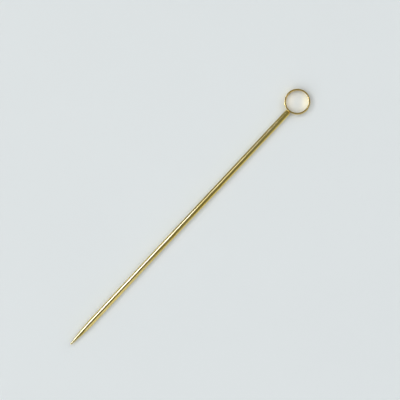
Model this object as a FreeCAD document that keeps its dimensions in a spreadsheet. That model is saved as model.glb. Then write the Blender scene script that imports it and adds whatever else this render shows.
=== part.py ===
import FreeCAD, Part
import math
import os

import Sketcher
from FreeCAD import Vector

# Ring-headed hat pin, lying flat.
#
# A straight round wire is the shank. One end is ground to a long point whose shoulder runs out gently into
# the wire. The other end is blunt, well rounded at its corner and brazed to the outside of the head ring.
# The ring is a narrow flat strip bent into a closed band, so its axis stands square to the shank.
#
# Frame: the origin is the centre of the ring, +X runs along the shank to the point, +Z is the ring's axis
# and points up from the surface that the pin lies on. Lengths are millimetres, angles are degrees.

SIZES = {
    "overall_length": 110.0,        # far side of the ring to the point
    "ring_outer_diameter": 8.2,
    "ring_wall": 0.42,              # thickness of the strip
    "ring_band_width": 1.85,        # width of the strip, along the ring's axis
    "ring_edge_radius": 0.09,       # tumbled edges of the strip
    "shank_diameter": 1.85,
    "shank_end_radius": 0.6,        # rounded corner of the shank's blunt end
    "point_half_angle": 5.0,        # between the cone of the point and the shank's axis
    "point_tip_radius": 0.3,        # blunted tip
    "shoulder_radius": 45.0,        # long arc that blends the cone into the wire
    "braze_gap": 0.08,              # clear space between the shank's end and the ring before brazing
    "braze_foot_diameter": 1.36,    # where the filler meets the ring
    "braze_rim_diameter": 1.3,      # where the filler runs out on the shank's rounded corner
    "braze_hollow_radius": 0.2,     # hollow flank of the filler
    "braze_reach": 0.16,            # how far the filler climbs past the shank's end
}

START = 1       # a curve's first point in a sketch
END = 2         # its last point
CENTRE = 3      # an arc's or a circle's centre
X_AXIS = -1     # the sketch's own horizontal axis, whose first point is the sketch's origin


def make_sheet(doc):
    """Write every driving dimension to a sheet, with its name beside it."""
    sheet = doc.addObject("Spreadsheet::Sheet", "Sizes")
    for row, (alias, value) in enumerate(SIZES.items(), start=1):
        sheet.set(f"A{row}", alias)
        sheet.set(f"B{row}", str(value))
        sheet.setAlias(f"B{row}", alias)
    return sheet


def make_body(doc, label):
    """An empty body that is named for its sub-part."""
    body = doc.addObject("PartDesign::Body", label)
    body.Label = label
    return body


def make_sketch(body, name, plane_role):
    """A sketch on one of the body's own origin planes."""
    planes = [item for item in body.Origin.OriginFeatures if item.Role == plane_role]
    sketch = body.newObject("Sketcher::SketchObject", name)
    sketch.AttachmentSupport = (planes[0], [""])
    sketch.MapMode = "FlatFace"
    return sketch


def drive(sketch, name, expression, kind, *where):
    """Add one dimension to a sketch and bind it to the sheet. The last value given is a first estimate."""
    index = sketch.addConstraint(Sketcher.Constraint(kind, *where))
    sketch.renameConstraint(index, name)
    sketch.setExpression(f"Constraints.{name}", expression)


def line(start, end):
    """A straight sketch edge between two (x, y) points."""
    return Part.LineSegment(Vector(*start, 0), Vector(*end, 0))


def arc(centre, radius, first_angle, last_angle):
    """A sketch arc that turns left from the first angle to the last."""
    circle = Part.Circle(Vector(*centre, 0), Vector(0, 0, 1), radius)
    return Part.ArcOfCircle(circle, math.radians(first_angle), math.radians(last_angle))


def make_head_ring(doc):
    """A flat strip closed into a band round the Z axis, with its four edges rounded."""
    body = make_body(doc, "head_ring")
    sketch = make_sketch(body, "RingPlan", "XY_Plane")
    outer_radius = SIZES["ring_outer_diameter"] / 2
    inner_radius = outer_radius - SIZES["ring_wall"]
    for radius in (outer_radius, inner_radius):
        circle = sketch.addGeometry(Part.Circle(Vector(0, 0, 0), Vector(0, 0, 1), radius))
        sketch.addConstraint(Sketcher.Constraint("Coincident", circle, CENTRE, X_AXIS, START))
    drive(sketch, "outer", "Sizes.ring_outer_diameter", "Diameter", 0, 2 * outer_radius)
    drive(sketch, "inner", "Sizes.ring_outer_diameter - 2 * Sizes.ring_wall", "Diameter", 1, 2 * inner_radius)

    band = body.newObject("PartDesign::Pad", "Band")
    band.Profile = sketch
    band.SideType = "Symmetric"
    band.setExpression("Length", "Sizes.ring_band_width")
    doc.recompute()

    edges = body.newObject("PartDesign::Fillet", "TumbledEdges")
    edges.Base = (band, [])
    edges.UseAllEdges = True
    edges.setExpression("Radius", "Sizes.ring_edge_radius")
    return body


def draw_shank_profile(sketch):
    """Half section of the shank: its axis on the X axis, its blunt end at x = 0, its point at the far end.

    The edges run left round the section: axis, tip, cone, shoulder, wire, rounded corner, end face.
    """
    length = SIZES["overall_length"] - SIZES["ring_outer_diameter"] - SIZES["braze_gap"]
    radius = SIZES["shank_diameter"] / 2
    corner = SIZES["shank_end_radius"]
    tip = SIZES["point_tip_radius"]
    shoulder = SIZES["shoulder_radius"]
    half_angle = SIZES["point_half_angle"]
    slope = math.radians(half_angle)

    cone_x = length - tip + tip * math.sin(slope)
    cone_y = tip * math.cos(slope)
    meeting_x = cone_x - (radius - cone_y) / math.tan(slope)    # where cone and wire would meet
    blend = shoulder * math.tan(slope / 2)                      # from there to either end of the shoulder
    shoulder_end = (meeting_x + blend * math.cos(slope), radius - blend * math.sin(slope))
    shoulder_start = (meeting_x - blend, radius)

    axis, point, cone, bend, wire, round_corner, face = sketch.addGeometry([
        line((0, 0), (length, 0)),
        arc((length - tip, 0), tip, 0, 90 - half_angle),
        line((cone_x, cone_y), shoulder_end),
        arc((meeting_x - blend, radius - shoulder), shoulder, 90 - half_angle, 90),
        line(shoulder_start, (corner, radius)),
        arc((corner, radius - corner), corner, 90, 180),
        line((0, radius - corner), (0, 0)),
    ])
    smooth_chain = (point, cone, bend, wire, round_corner, face)
    sketch.addConstraint([
        Sketcher.Constraint("Coincident", axis, START, X_AXIS, START),
        Sketcher.Constraint("PointOnObject", axis, END, X_AXIS),
        Sketcher.Constraint("Coincident", axis, END, point, START),
        Sketcher.Constraint("PointOnObject", point, CENTRE, X_AXIS),
        Sketcher.Constraint("Horizontal", wire),
        Sketcher.Constraint("Vertical", face),
        Sketcher.Constraint("Coincident", face, END, axis, START),
    ])
    for before, after in zip(smooth_chain, smooth_chain[1:]):
        sketch.addConstraint(Sketcher.Constraint("Tangent", before, END, after, START))

    drive(sketch, "length", "Sizes.overall_length - Sizes.ring_outer_diameter - Sizes.braze_gap",
          "DistanceX", axis, START, axis, END, length)
    drive(sketch, "radius", "Sizes.shank_diameter / 2", "DistanceY", X_AXIS, START, wire, END, radius)
    drive(sketch, "corner", "Sizes.shank_end_radius", "Radius", round_corner, corner)
    drive(sketch, "tip", "Sizes.point_tip_radius", "Radius", point, tip)
    drive(sketch, "shoulder", "Sizes.shoulder_radius", "Radius", bend, shoulder)
    drive(sketch, "cone", "(180 - Sizes.point_half_angle) * 1 deg", "Angle", cone, math.pi - slope)


def make_shank(doc):
    """The wire, turned from its half section and set with its blunt end a braze gap off the ring."""
    body = make_body(doc, "shank")
    sketch = make_sketch(body, "ShankSection", "XY_Plane")
    draw_shank_profile(sketch)
    doc.recompute()

    wire = body.newObject("PartDesign::Revolution", "Wire")
    wire.Profile = sketch
    wire.ReferenceAxis = (sketch, ["H_Axis"])
    wire.Angle = 360
    body.setExpression("Placement.Base.x", "Sizes.ring_outer_diameter / 2 + Sizes.braze_gap")
    return body


def draw_filler_profile(sketch):
    """Half section of the filler before ring and shank are taken from it, about the X axis.

    It starts half-way into the ring's wall, so that the ring shapes its foot, and ends inside the shank.
    The edges run left round the section: axis, far face, hollow flank, foot, near face.
    """
    ring_radius = SIZES["ring_outer_diameter"] / 2
    foot = SIZES["braze_foot_diameter"] / 2
    rim = SIZES["braze_rim_diameter"] / 2
    hollow = SIZES["braze_hollow_radius"]
    near_x = ring_radius - SIZES["ring_wall"] / 2
    foot_x = math.sqrt(ring_radius ** 2 - foot ** 2)
    far_x = ring_radius + SIZES["braze_gap"] + SIZES["braze_reach"]

    # The flank's centre lies outside the filler, square to the middle of the line from foot to rim.
    run = math.hypot(far_x - foot_x, foot - rim)
    lift = math.sqrt(hollow ** 2 - (run / 2) ** 2)
    centre_x = (foot_x + far_x) / 2 + lift * (foot - rim) / run
    centre_y = (foot + rim) / 2 + lift * (far_x - foot_x) / run
    first_angle = math.degrees(math.atan2(foot - centre_y, foot_x - centre_x)) % 360
    last_angle = math.degrees(math.atan2(rim - centre_y, far_x - centre_x)) % 360

    axis, far_face, flank, land, near_face = sketch.addGeometry([
        line((near_x, 0), (far_x, 0)),
        line((far_x, 0), (far_x, rim)),
        arc((centre_x, centre_y), hollow, first_angle, last_angle),
        line((foot_x, foot), (near_x, foot)),
        line((near_x, foot), (near_x, 0)),
    ])
    sketch.addConstraint([
        Sketcher.Constraint("PointOnObject", axis, START, X_AXIS),
        Sketcher.Constraint("Horizontal", axis),
        Sketcher.Constraint("Coincident", axis, END, far_face, START),
        Sketcher.Constraint("Vertical", far_face),
        Sketcher.Constraint("Coincident", far_face, END, flank, END),
        Sketcher.Constraint("Coincident", flank, START, land, START),
        Sketcher.Constraint("Horizontal", land),
        Sketcher.Constraint("Coincident", land, END, near_face, START),
        Sketcher.Constraint("Vertical", near_face),
        Sketcher.Constraint("Coincident", near_face, END, axis, START),
    ])
    drive(sketch, "near", "Sizes.ring_outer_diameter / 2 - Sizes.ring_wall / 2",
          "DistanceX", X_AXIS, START, axis, START, near_x)
    drive(sketch, "far", "Sizes.ring_outer_diameter / 2 + Sizes.braze_gap + Sizes.braze_reach",
          "DistanceX", X_AXIS, START, axis, END, far_x)
    drive(sketch, "foot_start", "sqrt(Sizes.ring_outer_diameter ^ 2 - Sizes.braze_foot_diameter ^ 2) / 2",
          "DistanceX", X_AXIS, START, flank, START, foot_x)
    drive(sketch, "foot", "Sizes.braze_foot_diameter / 2", "DistanceY", X_AXIS, START, flank, START, foot)
    drive(sketch, "rim", "Sizes.braze_rim_diameter / 2", "DistanceY", X_AXIS, START, flank, END, rim)
    drive(sketch, "hollow", "Sizes.braze_hollow_radius", "Radius", flank, hollow)


def make_braze_joint(doc, head_ring, shank):
    """The filler metal between ring and shank: it meets both face to face."""
    blank = make_body(doc, "filler_blank")
    sketch = make_sketch(blank, "FillerSection", "XY_Plane")
    draw_filler_profile(sketch)
    doc.recompute()

    collar = blank.newObject("PartDesign::Revolution", "Collar")
    collar.Profile = sketch
    collar.ReferenceAxis = (sketch, ["H_Axis"])
    collar.Angle = 360

    seated = doc.addObject("Part::Cut", "SeatedOnRing")
    seated.Base = blank
    seated.Tool = head_ring

    joint = doc.addObject("Part::Cut", "BrazeJoint")
    joint.Base = seated
    joint.Tool = shank
    joint.Label = "braze_joint"
    return joint


def check(doc, sub_parts):
    """Stop at any object that failed to build and any sub-part that isn't one sound solid."""
    for item in doc.Objects:
        if {"Invalid", "Error"} & set(item.State):
            raise RuntimeError(f"{item.Label} failed: {item.State}")
        if item.isDerivedFrom("Sketcher::SketchObject") and not item.FullyConstrained:
            raise RuntimeError(f"{item.Label} isn't fully constrained")
    for sub_part in sub_parts:
        shape = sub_part.Shape
        if shape.isNull() or not shape.isValid() or len(shape.Solids) != 1:
            raise RuntimeError(f"{sub_part.Label} isn't one sound solid")


def main():
    doc = FreeCAD.newDocument("HatPin")
    make_sheet(doc)
    doc.recompute()
    head_ring = make_head_ring(doc)
    shank = make_shank(doc)
    doc.recompute()
    braze_joint = make_braze_joint(doc, head_ring, shank)
    doc.recompute()

    sub_parts = (head_ring, shank, braze_joint)
    check(doc, sub_parts)
    os.makedirs("parts", exist_ok=True)
    for sub_part in sub_parts:
        sub_part.Shape.exportStep(f"parts/{sub_part.Label}.step")
        box = sub_part.Shape.BoundBox
        print(f"{sub_part.Label}: {sub_part.Shape.Volume:.4f} mm3, x {box.XMin:.3f} to {box.XMax:.3f}, "
              f"y {box.YMin:.3f} to {box.YMax:.3f}, z {box.ZMin:.3f} to {box.ZMax:.3f}")


main()
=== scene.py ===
import math

import bpy
from mathutils import Matrix, Vector, noise


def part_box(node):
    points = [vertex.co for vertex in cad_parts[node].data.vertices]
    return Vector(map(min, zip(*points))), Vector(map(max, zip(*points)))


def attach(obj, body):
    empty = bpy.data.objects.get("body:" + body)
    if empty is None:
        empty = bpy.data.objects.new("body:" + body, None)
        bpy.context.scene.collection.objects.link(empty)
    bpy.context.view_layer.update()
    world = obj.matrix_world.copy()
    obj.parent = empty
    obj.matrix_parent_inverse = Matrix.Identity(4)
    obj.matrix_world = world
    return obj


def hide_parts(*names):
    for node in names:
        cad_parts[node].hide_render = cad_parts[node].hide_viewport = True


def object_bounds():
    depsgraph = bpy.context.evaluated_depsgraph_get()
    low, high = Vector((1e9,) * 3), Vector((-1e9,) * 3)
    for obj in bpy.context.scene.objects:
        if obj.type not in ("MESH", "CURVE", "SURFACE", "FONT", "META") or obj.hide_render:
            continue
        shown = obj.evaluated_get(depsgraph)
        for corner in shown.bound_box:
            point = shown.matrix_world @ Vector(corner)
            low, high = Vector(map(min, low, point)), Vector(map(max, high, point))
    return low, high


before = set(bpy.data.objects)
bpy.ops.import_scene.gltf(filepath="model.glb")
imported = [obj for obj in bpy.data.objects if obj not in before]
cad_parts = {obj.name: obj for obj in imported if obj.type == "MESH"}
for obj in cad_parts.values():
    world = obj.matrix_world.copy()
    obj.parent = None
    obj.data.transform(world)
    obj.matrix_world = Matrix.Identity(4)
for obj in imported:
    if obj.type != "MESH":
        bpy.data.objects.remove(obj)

# A gold-coloured, ring-headed hat pin that lies flat on a pale table, seen from nearly straight above.
#
# Everything is in metres, in the CAD frame: the origin is the centre of the head ring, +X runs along the
# shank to the point, and +Z is up. The three CAD solids keep their sizes, and finer meshes stand for them.

cad_low, cad_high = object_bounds()
ring_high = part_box("head_ring")[1]
shank_low, shank_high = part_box("shank")

MM = 0.001
RIGHT_ANGLE = math.pi / 2
FULL_TURN = 2 * math.pi

RING_RADIUS = ring_high.y
RING_WALL = 0.42 * MM
RING_HALF_WIDTH = ring_high.z
RING_EDGE = 0.09 * MM           # rounded edge of the strip
RING_CROWN = 0.02 * MM          # how much lower the band's outer face is at its edges than in its middle
RING_AROUND = 240               # faces round the ring
RING_CROWN_STEPS = 8
RING_EDGE_STEPS = 7
RING_DENT = 0.0012              # deepest dent, as a share of the radius
RING_DENT_PACE = 2.0            # larger values bring the dents closer together

SHANK_START = shank_low.x
SHANK_TIP = shank_high.x
SHANK_RADIUS = shank_high.z
SHANK_CORNER = 0.60 * MM        # rounded corner of the blunt end
POINT_SLOPE = math.radians(5.0)
TIP_RADIUS = 0.30 * MM
SHOULDER_RADIUS = 45.0 * MM     # long arc that blends the point into the wire
SHANK_AROUND = 64
RIPPLE_LENGTH = 9 * MM
RIPPLE_DEPTH = 0.004            # deepest ripple, as a share of the radius

BRAZE_FOOT = 0.68 * MM          # radius where the filler meets the ring
BRAZE_RIM = 0.65 * MM           # radius where it meets the shank
BRAZE_HOLLOW = 0.20 * MM        # radius of its hollow flank
BRAZE_REACH = 0.16 * MM         # how far it covers the shank's rounded end
BRAZE_HIDDEN_SHARE = 0.6        # flat end inside the ring or the shank, as a share of the radius beside it
BRAZE_AROUND = 72
BRAZE_FLANK_STEPS = 12

FLOOR_Z = cad_low.z
FLOOR_GAP = 0.01 * MM           # between the pin and the table
CARD_GAP = 0.02 * MM            # from the lowest point of the pin up to the dark card
FLOOR_HALF_SIDE = 4.0

# The camera hangs above a point beside the shank and leans a little across it. The picture's width is
# measured at the height of the shank's axis.
CAMERA_AIM = Vector((44.1 * MM, -1.32 * MM, 0.0))
CAMERA_DISTANCE = 0.80
CAMERA_LEAN = math.radians(10.0)     # from straight above, towards +Y
PICTURE_WIDTH = 127.6 * MM
CAMERA_TURN = math.radians(133.1)    # from the pin's +X to the right of the picture
SENSOR_WIDTH_MM = 36.0
NEAREST_SEEN = 0.01

GOLD = (0.86, 0.645, 0.15)
GOLD_PALE = (0.88, 0.69, 0.22)
GOLD_DEEP = (0.70, 0.49, 0.12)
GOLD_WARM = (0.84, 0.57, 0.10)
GOLD_WARM_PALE = (0.88, 0.63, 0.16)
TABLE_PALE = (0.80, 0.825, 0.83)
TABLE_PALER = (0.82, 0.845, 0.85)
CARD_GREY = (0.20, 0.19, 0.17, 1.0)

# Colours of the lights. Gold takes the blue out of what it reflects, so the blue ones look white in it.
WARM = (1.0, 0.99, 0.97)
COOL = (0.97, 1.0, 1.0)
DEEP_BLUE = (0.02, 0.11, 1.0)
PALE_BLUE = (0.38, 0.42, 1.0)
HAZE_BLUE = (0.46, 0.52, 1.0)
SPARK_BLUE = (0.62, 0.72, 1.0)
GOLDEN = (1.0, 0.84, 0.56)


# ---------------------------------------------------------------- meshes

def new_piece(name, vertices, faces, material):
    """A smooth-shaded mesh object in the CAD frame."""
    mesh = bpy.data.meshes.new(name)
    mesh.from_pydata(vertices, [], faces)
    mesh.validate()
    mesh.shade_smooth()
    mesh.materials.append(material)
    piece = bpy.data.objects.new(name, mesh)
    bpy.context.scene.collection.objects.link(piece)
    return piece


def arc_points(centre, radius, first, last, steps):
    """Points (along, out) on an arc. Angles are in radians from the 'along' direction."""
    turn = (last - first) / steps
    angles = [first + turn * i for i in range(steps + 1)]
    return [(centre[0] + radius * math.cos(a), centre[1] + radius * math.sin(a)) for a in angles]


def straight_points(start, end, steps):
    """Evenly spaced points after the start of a line, up to its end."""
    shares = [(i + 1) / steps for i in range(steps)]
    return [(start[0] + (end[0] - start[0]) * s, start[1] + (end[1] - start[1]) * s) for s in shares]


def turned_piece(name, start_x, circles, end_x, around, material, trueness=None):
    """A closed solid turned about the X axis, through circles given as (x, radius).

    Both ends close at a single vertex on the axis. The trueness, a function of x and the angle, gives the
    share of its radius that a point keeps.
    """
    vertices = [(start_x, 0.0, 0.0)]
    for x, radius in circles:
        for i in range(around):
            angle = FULL_TURN * i / around
            r = radius * trueness(x, angle) if trueness else radius
            vertices.append((x, r * math.cos(angle), r * math.sin(angle)))
    vertices.append((end_x, 0.0, 0.0))
    last_vertex = len(vertices) - 1
    last_circle = 1 + (len(circles) - 1) * around
    faces = []
    for i in range(around):
        j = (i + 1) % around
        faces.append((0, 1 + j, 1 + i))
        for row in range(len(circles) - 1):
            a = 1 + row * around
            b = a + around
            faces.append((a + i, a + j, b + j, b + i))
        faces.append((last_circle + i, last_circle + j, last_vertex))
    return new_piece(name, vertices, faces, material)


def shank_circles():
    """(x, radius) from beside the middle of the blunt end to the tip itself."""
    cone_x = SHANK_TIP - TIP_RADIUS + TIP_RADIUS * math.sin(POINT_SLOPE)
    cone_r = TIP_RADIUS * math.cos(POINT_SLOPE)
    meeting_x = cone_x - (SHANK_RADIUS - cone_r) / math.tan(POINT_SLOPE)
    shoulder_x = meeting_x - SHOULDER_RADIUS * math.tan(POINT_SLOPE / 2)
    slope_start = RIGHT_ANGLE - POINT_SLOPE

    corner_centre = (SHANK_START + SHANK_CORNER, SHANK_RADIUS - SHANK_CORNER)
    corner = arc_points(corner_centre, SHANK_CORNER, math.pi, RIGHT_ANGLE, steps=14)
    wire = straight_points(corner[-1], (shoulder_x, SHANK_RADIUS), steps=420)
    shoulder_centre = (shoulder_x, SHANK_RADIUS - SHOULDER_RADIUS)
    shoulder = arc_points(shoulder_centre, SHOULDER_RADIUS, RIGHT_ANGLE, slope_start, steps=60)[1:]
    cone = straight_points(shoulder[-1], (cone_x, cone_r), steps=50)
    tip = arc_points((SHANK_TIP - TIP_RADIUS, 0), TIP_RADIUS, slope_start, 0, steps=12)[1:]
    return corner + wire + shoulder + cone + tip


def shank_trueness(x, angle):
    """Polishing leaves the wire slightly rippled. It never stands out past its true radius."""
    place = Vector((x / RIPPLE_LENGTH, math.cos(angle), math.sin(angle)))
    return 1 - RIPPLE_DEPTH * (0.5 + 0.5 * noise.noise(place))


def make_shank(material):
    """The wire, from its rounded blunt end to its point."""
    circles = shank_circles()
    tip_x = circles.pop()[0]
    return turned_piece("shank_wire", SHANK_START, circles, tip_x, SHANK_AROUND, material, shank_trueness)


def band_section():
    """Closed outline (radius, z) of the strip, anticlockwise, starting at the bottom of the outer face."""
    level = RING_HALF_WIDTH - RING_EDGE
    outer_edge = RING_RADIUS - RING_EDGE - RING_CROWN
    inner_edge = RING_RADIUS - RING_WALL + RING_EDGE
    outline = []
    for i in range(RING_CROWN_STEPS + 1):
        height = -level + 2 * level * i / RING_CROWN_STEPS
        outline.append((RING_RADIUS - RING_CROWN * (height / level) ** 2, height))
    edge_centres = [(outer_edge, level), (inner_edge, level), (inner_edge, -level), (outer_edge, -level)]
    edges = []
    for quarter, centre in enumerate(edge_centres):
        first = quarter * RIGHT_ANGLE
        edges += arc_points(centre, RING_EDGE, first, first + RIGHT_ANGLE, RING_EDGE_STEPS)
    return outline + edges[1:-1]


def ring_trueness(angle):
    """Bending and tumbling leave the ring slightly out of round. It never stands out past its radius."""
    place = RING_DENT_PACE * Vector((math.cos(angle), math.sin(angle), 0.15))
    return 1 - RING_DENT * (0.5 + 0.5 * noise.noise(place))


def make_ring(material):
    """The strip swept round the Z axis."""
    outline = band_section()
    count = len(outline)
    vertices = []
    for i in range(RING_AROUND):
        angle = FULL_TURN * i / RING_AROUND
        share = ring_trueness(angle)
        for radius, height in outline:
            r = radius * share
            vertices.append((r * math.cos(angle), r * math.sin(angle), height))
    faces = []
    for i in range(RING_AROUND):
        here = i * count
        there = ((i + 1) % RING_AROUND) * count
        for k in range(count):
            m = (k + 1) % count
            faces.append((here + k, there + k, there + m, here + m))
    return new_piece("ring_band", vertices, faces, material)


def make_braze(material):
    """A small hollow-flanked collar of filler between ring and shank. Its ends are hidden in both."""
    ring_side = RING_RADIUS - RING_WALL / 2
    shank_side = SHANK_START + BRAZE_REACH
    foot_x = math.sqrt(RING_RADIUS ** 2 - BRAZE_FOOT ** 2)
    run = math.hypot(shank_side - foot_x, BRAZE_FOOT - BRAZE_RIM)
    lift = math.sqrt(BRAZE_HOLLOW ** 2 - (run / 2) ** 2)
    centre = ((foot_x + shank_side) / 2 + lift * (BRAZE_FOOT - BRAZE_RIM) / run,
              (BRAZE_FOOT + BRAZE_RIM) / 2 + lift * (shank_side - foot_x) / run)
    first = math.atan2(BRAZE_FOOT - centre[1], foot_x - centre[0]) % FULL_TURN
    last = math.atan2(BRAZE_RIM - centre[1], shank_side - centre[0]) % FULL_TURN

    circles = [(ring_side, BRAZE_HIDDEN_SHARE * BRAZE_FOOT), (ring_side, BRAZE_FOOT)]
    circles += arc_points(centre, BRAZE_HOLLOW, first, last, BRAZE_FLANK_STEPS)
    circles.append((shank_side, BRAZE_HIDDEN_SHARE * BRAZE_RIM))
    return turned_piece("braze_fillet", ring_side, circles, shank_side, BRAZE_AROUND, material)


# ---------------------------------------------------------------- materials

class Surface:
    """A node material and short ways to add nodes to it."""

    def __init__(self, name):
        self.material = bpy.data.materials.new(name)
        self.material.use_nodes = True
        self.nodes = self.material.node_tree.nodes
        self.links = self.material.node_tree.links
        self.shader = self.nodes["Principled BSDF"]
        self.place = self.nodes.new("ShaderNodeTexCoord").outputs["Object"]

    def set(self, **values):
        """Fixed values on the shader's own sockets. An underscore stands for a space."""
        for name, value in values.items():
            self.shader.inputs[name.replace("_", " ")].default_value = value

    def link(self, source, socket_name):
        self.links.new(source, self.shader.inputs[socket_name])

    def noise(self, cell, detail):
        """Noise whose features measure about cell = (x, y, z) metres."""
        mapping = self.nodes.new("ShaderNodeMapping")
        mapping.inputs["Scale"].default_value = [1 / size for size in cell]
        self.links.new(self.place, mapping.inputs["Vector"])
        texture = self.nodes.new("ShaderNodeTexNoise")
        texture.inputs["Scale"].default_value = 1.0
        texture.inputs["Detail"].default_value = detail
        self.links.new(mapping.outputs["Vector"], texture.inputs["Vector"])
        return texture.outputs["Fac"]

    def remap(self, source, taken, given):
        """Stretch a value from the range taken to the range given, and clamp it there."""
        node = self.nodes.new("ShaderNodeMapRange")
        self.links.new(source, node.inputs["Value"])
        node.inputs["From Min"].default_value, node.inputs["From Max"].default_value = taken
        node.inputs["To Min"].default_value, node.inputs["To Max"].default_value = given
        return node.outputs["Result"]

    def add(self, first, second):
        node = self.nodes.new("ShaderNodeMath")
        node.operation = "ADD"
        self.links.new(first, node.inputs[0])
        self.links.new(second, node.inputs[1])
        return node.outputs["Value"]

    def mix(self, share, first, second):
        """One colour turning into another. The first may be a colour or another node's output."""
        node = self.nodes.new("ShaderNodeMix")
        node.data_type = "RGBA"
        self.links.new(share, node.inputs["Factor"])
        first_socket, second_socket = [socket for socket in node.inputs if socket.type == "RGBA"]
        if isinstance(first, tuple):
            first_socket.default_value = (*first, 1.0)
        else:
            self.links.new(first, first_socket)
        second_socket.default_value = (*second, 1.0)
        return next(socket for socket in node.outputs if socket.type == "RGBA")

    def bump(self, height, depth):
        """Relief of the given depth in metres."""
        node = self.nodes.new("ShaderNodeBump")
        node.inputs["Strength"].default_value = 1.0
        node.inputs["Distance"].default_value = depth
        self.links.new(height, node.inputs["Height"])
        self.link(node.outputs["Normal"], "Normal")


def plated_wire():
    """Gold plating over drawn wire: lines along X, faint patches of wear and tiny dull specks."""
    surface = Surface("gold_plated_wire")
    lines = surface.noise((14 * MM, 0.16 * MM, 0.16 * MM), detail=4.0)
    patches = surface.noise((6 * MM, 1.4 * MM, 1.4 * MM), detail=2.0)
    specks = surface.noise((0.35 * MM, 0.3 * MM, 0.3 * MM), detail=1.0)
    tone = surface.mix(surface.remap(patches, taken=(0.35, 0.7), given=(0.0, 1.0)), GOLD, GOLD_PALE)
    tone = surface.mix(surface.remap(specks, taken=(0.68, 0.76), given=(0.0, 0.6)), tone, GOLD_DEEP)
    surface.link(tone, "Base Color")
    haze = surface.remap(patches, taken=(0.3, 0.7), given=(0.08, 0.12))
    scuffs = surface.remap(lines, taken=(0.5, 0.75), given=(0.0, 0.08))
    surface.link(surface.add(haze, scuffs), "Roughness")
    surface.bump(lines, depth=0.0012 * MM)
    surface.set(Metallic=1.0)
    return surface.material


def plated_strip():
    """Gold plating over rolled strip: a warmer gold, fine lines round the band and faint patches of wear."""
    surface = Surface("gold_plated_ring")
    lines = surface.noise((2.5 * MM, 2.5 * MM, 0.10 * MM), detail=4.0)
    patches = surface.noise((1.6 * MM, 1.6 * MM, 1.0 * MM), detail=2.0)
    tone = surface.mix(surface.remap(patches, taken=(0.35, 0.7), given=(0.0, 1.0)), GOLD_WARM, GOLD_WARM_PALE)
    surface.link(tone, "Base Color")
    haze = surface.remap(patches, taken=(0.3, 0.7), given=(0.06, 0.10))
    scuffs = surface.remap(lines, taken=(0.5, 0.75), given=(0.0, 0.06))
    surface.link(surface.add(haze, scuffs), "Roughness")
    surface.bump(lines, depth=0.0010 * MM)
    surface.set(Metallic=1.0)
    return surface.material


def plated_filler():
    """Gold plating over frozen filler metal: satin, slightly pitted and a little deeper in colour."""
    surface = Surface("gold_plated_braze")
    grains = surface.noise((0.12 * MM, 0.12 * MM, 0.12 * MM), detail=3.0)
    tone = surface.mix(surface.remap(grains, taken=(0.35, 0.65), given=(0.0, 1.0)), GOLD_DEEP, GOLD)
    surface.link(tone, "Base Color")
    surface.link(surface.remap(grains, taken=(0.3, 0.7), given=(0.26, 0.38)), "Roughness")
    surface.bump(grains, depth=0.0040 * MM)
    surface.set(Metallic=1.0)
    return surface.material


def table_top():
    """Pale, almost white, matt table."""
    surface = Surface("pale_table")
    cloud = surface.noise((40 * MM, 40 * MM, 40 * MM), detail=2.0)
    surface.link(surface.mix(cloud, TABLE_PALE, TABLE_PALER), "Base Color")
    surface.set(Roughness=0.6, Specular_IOR_Level=0.0)
    return surface.material


# ---------------------------------------------------------------- surroundings

def make_rectangle(name, corner, opposite, level, material):
    """A level rectangle between two opposite corners (x, y), for the surroundings."""
    (x0, y0), (x1, y1) = corner, opposite
    vertices = [(x0, y0, level), (x1, y0, level), (x1, y1, level), (x0, y1, level)]
    rectangle = new_piece(name, vertices, [(0, 1, 2, 3)], material)
    return rectangle


def make_table():
    half = FLOOR_HALF_SIDE
    make_rectangle("table", (-half, -half), (half, half), FLOOR_Z - FLOOR_GAP, table_top())


def make_dark_card():
    """A dark card on the table beside the ring half of the shank, seen only by the metal's reflections."""
    surface = Surface("dark_card")
    surface.set(Base_Color=CARD_GREY, Roughness=0.8)
    near_corner = (58 * MM, -3.5 * SHANK_RADIUS)
    far_corner = (RING_RADIUS, -60 * MM)
    level = FLOOR_Z + CARD_GAP
    card = make_rectangle("dark_card", near_corner, far_corner, level, surface.material)
    card.visible_camera = False
    card.visible_diffuse = False
    card.visible_transmission = False
    card.visible_shadow = False


def make_softbox(name, toward, distance, size, radiance, colour, lights_matt=True, lights_metal=True):
    """A rectangular light facing the middle of the pin, from the direction toward = (x, y, z).

    Its first side is as near parallel to the pin as it can be. A light can leave out the matt table or
    the reflections in the metal.
    """
    data = bpy.data.lights.new(name, "AREA")
    data.shape = "RECTANGLE"
    data.size, data.size_y = size
    data.energy = radiance * math.pi * size[0] * size[1]
    data.color = colour
    light = bpy.data.objects.new(name, data)
    back = Vector(toward).normalized()
    across = back.cross((1.0, 0.0, 0.0)).normalized()
    along = across.cross(back)
    place = Vector((CAMERA_AIM.x, 0.0, 0.0)) + back * distance
    light.matrix_world = Matrix.Translation(place) @ Matrix((along, across, back)).transposed().to_4x4()
    light.visible_camera = False
    light.visible_diffuse = lights_matt
    light.visible_glossy = lights_metal
    bpy.context.scene.collection.objects.link(light)


def make_ring_glow(colour, radiance, axis):
    """Light that the ring's inner wall throws down on the table. The metal doesn't show it.

    The axis is the angle, in the ring's plane, of the line along which the glow is strongest.
    """
    count = 16
    circle = 0.74 * (RING_RADIUS - RING_WALL)
    spot_radius = 0.16 * RING_RADIUS
    height = 0.2 * RING_HALF_WIDTH
    for i in range(count):
        angle = FULL_TURN * i / count
        data = bpy.data.lights.new(f"ring_glow_{i}", "AREA")
        data.shape = "DISK"
        data.size = 2 * spot_radius
        data.energy = radiance * (math.pi * spot_radius * math.cos(angle - axis)) ** 2
        data.color = colour
        light = bpy.data.objects.new(data.name, data)
        light.location = (circle * math.cos(angle), circle * math.sin(angle), height)
        light.visible_camera = False
        light.visible_glossy = False
        bpy.context.scene.collection.objects.link(light)


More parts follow.
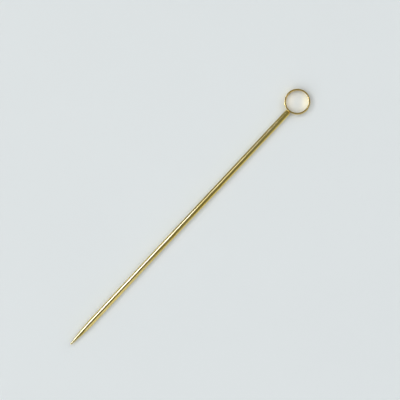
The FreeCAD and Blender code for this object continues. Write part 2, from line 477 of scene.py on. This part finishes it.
def make_world(colour, strength):
    world = bpy.data.worlds.new("studio")
    world.use_nodes = True
    background = world.node_tree.nodes["Background"]
    background.inputs["Color"].default_value = (*colour, 1.0)
    background.inputs["Strength"].default_value = strength
    bpy.context.scene.world = world


def make_studio():
    """Table, lights and card. The first box lights pin and table, and its twin whitens the highlight."""
    make_table()
    make_world(COOL, strength=0.22)
    above_left = (0.296, -0.79, 1.00)
    make_softbox("key", toward=above_left, distance=1.3, size=(0.55, 0.43), radiance=4.3, colour=WARM)
    make_softbox("glint", toward=above_left, distance=1.33, size=(0.55, 0.48), radiance=13.0,
                 colour=DEEP_BLUE, lights_matt=False)
    make_softbox("glint_edge", toward=(-0.010, -0.66, 1.09), distance=1.3, size=(0.12, 0.42), radiance=4.4,
                 colour=PALE_BLUE, lights_matt=False)
    make_softbox("glow_past_point", toward=(0.18, 1.19, 0.48), distance=1.3, size=(0.22, 0.80), radiance=1.6,
                 colour=HAZE_BLUE)
    make_ring_glow(GOLDEN, radiance=0.72, axis=CAMERA_TURN - math.radians(8.0))
    make_softbox("rim_spark", toward=(0.60, -0.64, 0.75), distance=1.3, size=(0.5, 0.5), radiance=20.0,
                 colour=SPARK_BLUE, lights_matt=False)
    make_dark_card()
    for name, side in (("fill_point_side", 1.0), ("fill_ring_side", -1.0)):
        make_softbox(name, toward=(side, 0.2, 1.0), distance=1.5, size=(1.8, 2.2), radiance=1.10,
                     colour=COOL, lights_metal=False)


def make_camera():
    data = bpy.data.cameras.new("camera")
    data.sensor_width = SENSOR_WIDTH_MM
    data.lens = SENSOR_WIDTH_MM * CAMERA_DISTANCE / PICTURE_WIDTH
    data.clip_start = NEAREST_SEEN
    camera = bpy.data.objects.new("camera", data)
    lean = Matrix.Rotation(-CAMERA_LEAN, 4, "X")
    back_off = Matrix.Translation((0, 0, CAMERA_DISTANCE))
    turn = Matrix.Rotation(CAMERA_TURN, 4, "Z")
    camera.matrix_world = Matrix.Translation(CAMERA_AIM) @ lean @ back_off @ turn
    bpy.context.scene.collection.objects.link(camera)
    bpy.context.scene.camera = camera


shank = make_shank(plated_wire())
ring = make_ring(plated_strip())
braze = make_braze(plated_filler())
for piece, node, slot in ((shank, "shank", "gold_plated_wire"),
                          (ring, "head_ring", "gold_plated_ring"),
                          (braze, "braze_joint", "gold_plated_braze")):
    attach(piece, "root")
    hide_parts(node)

make_studio()
make_camera()
bpy.context.scene.view_settings.view_transform = "Standard"
